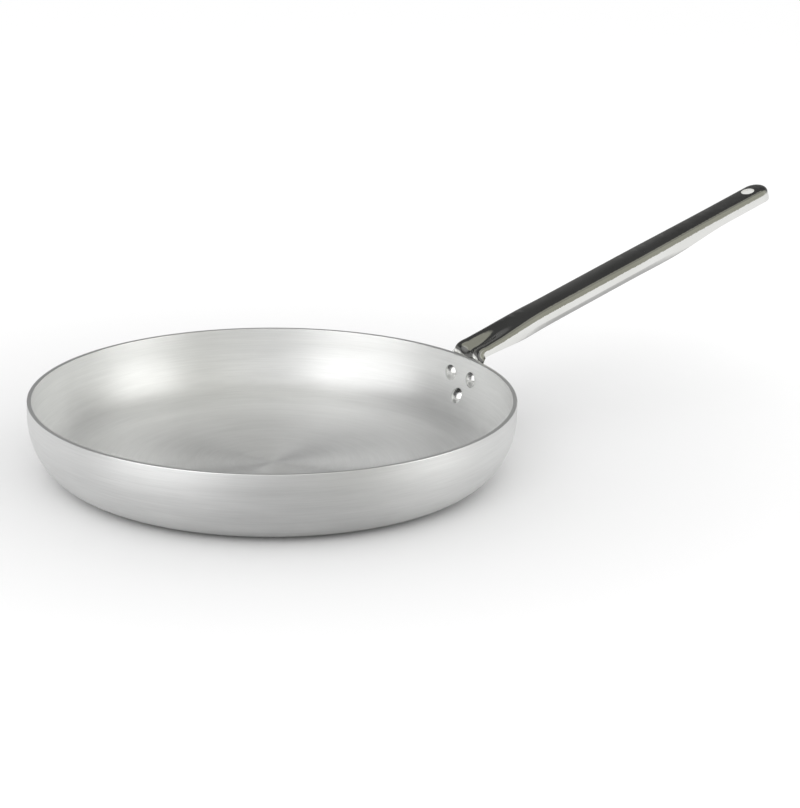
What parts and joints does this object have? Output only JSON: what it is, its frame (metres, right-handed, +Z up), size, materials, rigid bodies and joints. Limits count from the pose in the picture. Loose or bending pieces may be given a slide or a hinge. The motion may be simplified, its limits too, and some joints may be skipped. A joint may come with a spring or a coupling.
{
  "type": "omelette pan",
  "caption": "Shallow round frying pan with a flat base, walls that curve up to a plain rim, and one long pressed-sheet handle, riveted on, that rises to a hanging hole.",
  "frame": {"origin": "middle of the flat base, on its underside", "axes": "+Z up from the base, +X from the middle of the pan towards the handle, +Y to the left of the handle"},
  "size_m": [0.6034, 0.32, 0.1376],
  "materials": {
    "spun_aluminium": "satin, spun",
    "polished_steel": "mirror-polished",
    "rivet_steel": "polished"
  },
  "bodies": {
    "root": {"pan_body": "spun_aluminium", "handle": "polished_steel", "rivet_upper_left": "rivet_steel", "rivet_upper_right": "rivet_steel", "rivet_lower": "rivet_steel"}
  },
  "joints": []
}
